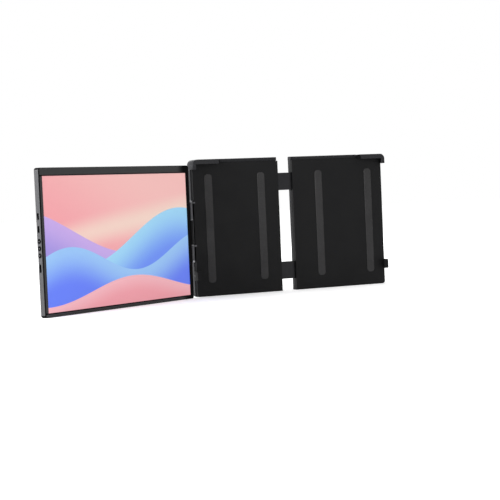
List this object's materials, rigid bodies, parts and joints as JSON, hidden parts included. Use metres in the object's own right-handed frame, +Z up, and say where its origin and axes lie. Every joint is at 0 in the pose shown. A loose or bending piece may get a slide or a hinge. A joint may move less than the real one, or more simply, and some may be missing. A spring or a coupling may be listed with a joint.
{
  "type": "portable monitor",
  "caption": "Slim side screen on an upright hinge, with a sliding two-part bracket whose hooks grip a laptop's lid, and a folding rear leg.",
  "frame": {"origin": "under the middle of the whole object, on the surface that it stands on", "axes": "+X to the right along the bracket, seen from the side of the display, +Y back, +Z up"},
  "size_m": [0.5932, 0.175, 0.2019],
  "materials": {
    "casing_grey": "satin anodised dark grey",
    "bezel_grey": "fine matt, near black",
    "display_glass": "smooth glass over a lit picture",
    "acrylic_clear": "clear polished",
    "lamp_white": "smooth",
    "pressed_steel": "zinc plated",
    "circuit_board": "solder mask",
    "flat_cable": "polyimide film",
    "switch_black": "matt",
    "socket_steel": "bright",
    "button_grey": "satin",
    "hinge_black": "fine black powder coat",
    "frame_grey": "satin anodised dark grey",
    "cover_black": "fine matt",
    "liner_rubber": "matt silicone",
    "steel": "turned",
    "screw_black": "black oxide",
    "bar_black": "black anodised",
    "shoe_plastic": "smooth acetal"
  },
  "bodies": {
    "left_frame": {"frame_hinge_leaf": "frame_grey", "frame_hinge_screws": "screw_black", "hinge_anchor_plate": "steel", "hinge_end_nut": "steel", "hinge_pin": "steel", "hinge_washers": "steel", "left_corner_hook": "frame_grey", "left_corner_liner": "liner_rubber", "left_cover_screws": "screw_black", "left_front_cover": "cover_black", "left_grip_pads": "liner_rubber", "left_hook_screw": "screw_black", "left_rear_shell": "frame_grey", "left_side_hook": "cover_black", "left_side_liner": "liner_rubber", "left_top_rail": "frame_grey", "left_top_screws": "steel", "slide_brake_pads": "liner_rubber", "slide_shoes": "shoe_plastic", "slide_stop_pins": "steel", "stand_brackets": "frame_grey", "stand_pin": "steel"},
    "right_frame": {"right_corner_hook": "frame_grey", "right_corner_liner": "liner_rubber", "right_cover_screws": "screw_black", "right_front_cover": "cover_black", "right_grip_pads": "liner_rubber", "right_hook_screw": "screw_black", "right_rear_shell": "frame_grey", "right_side_hook": "cover_black", "right_side_liner": "liner_rubber", "right_top_rail": "frame_grey", "right_top_screws": "steel", "upper_slide_bar": "bar_black", "lower_slide_bar": "bar_black", "slide_bar_screws": "steel"},
    "stand": {"kickstand_leg": "frame_grey", "kickstand_foot": "liner_rubber"},
    "monitor": {"backlight_led_bar": "lamp_white", "backlight_plate": "acrylic_clear", "display_panel": "display_glass", "monitor_case_screws": "screw_black", "monitor_front_bezel": "bezel_grey", "monitor_hinge_leaf": "hinge_black", "monitor_hinge_screws": "screw_black", "monitor_rear_shell": "casing_grey", "panel_frame": "pressed_steel", "panel_ribbon": "flat_cable", "driver_board": "circuit_board", "port_board": "circuit_board", "port_ribbon": "flat_cable", "button_switches": "switch_black", "lower_usb_c_socket": "socket_steel", "upper_usb_c_socket": "socket_steel", "mini_hdmi_socket": "socket_steel"},
    "power_button": {"power_button": "button_grey"},
    "menu_button": {"menu_button": "button_grey"},
    "input_button": {"input_button": "button_grey"}
  },
  "joints": [
    {"name": "monitor_swing", "type": "hinge", "parent": "left_frame", "child": "monitor", "pos_m": [-0.02874, 0.05733, 0.09575], "axis": [0, 0, 1], "range_deg": [-58.8, 151.2]},
    {"name": "frame_slide", "type": "slide", "parent": "left_frame", "child": "right_frame", "axis": [1, 0, 0], "range_m": [-0.0231, 0.045]},
    {"name": "stand_fold", "type": "hinge", "parent": "left_frame", "child": "stand", "pos_m": [0.03996, 0.08473, 0.116], "axis": [1, 0, 0], "range_deg": [0, 75]},
    {"name": "power_button_press", "type": "slide", "parent": "monitor", "child": "power_button", "axis": [0.8763, 0.4818, 0], "range_m": [0, 0.0004], "stiffness_N_per_m": 2500},
    {"name": "menu_button_press", "type": "slide", "parent": "monitor", "child": "menu_button", "axis": [0.8763, 0.4818, 0], "range_m": [0, 0.0004], "stiffness_N_per_m": 2500},
    {"name": "input_button_press", "type": "slide", "parent": "monitor", "child": "input_button", "axis": [0.8763, 0.4818, 0], "range_m": [0, 0.0004], "stiffness_N_per_m": 2500}
  ]
}
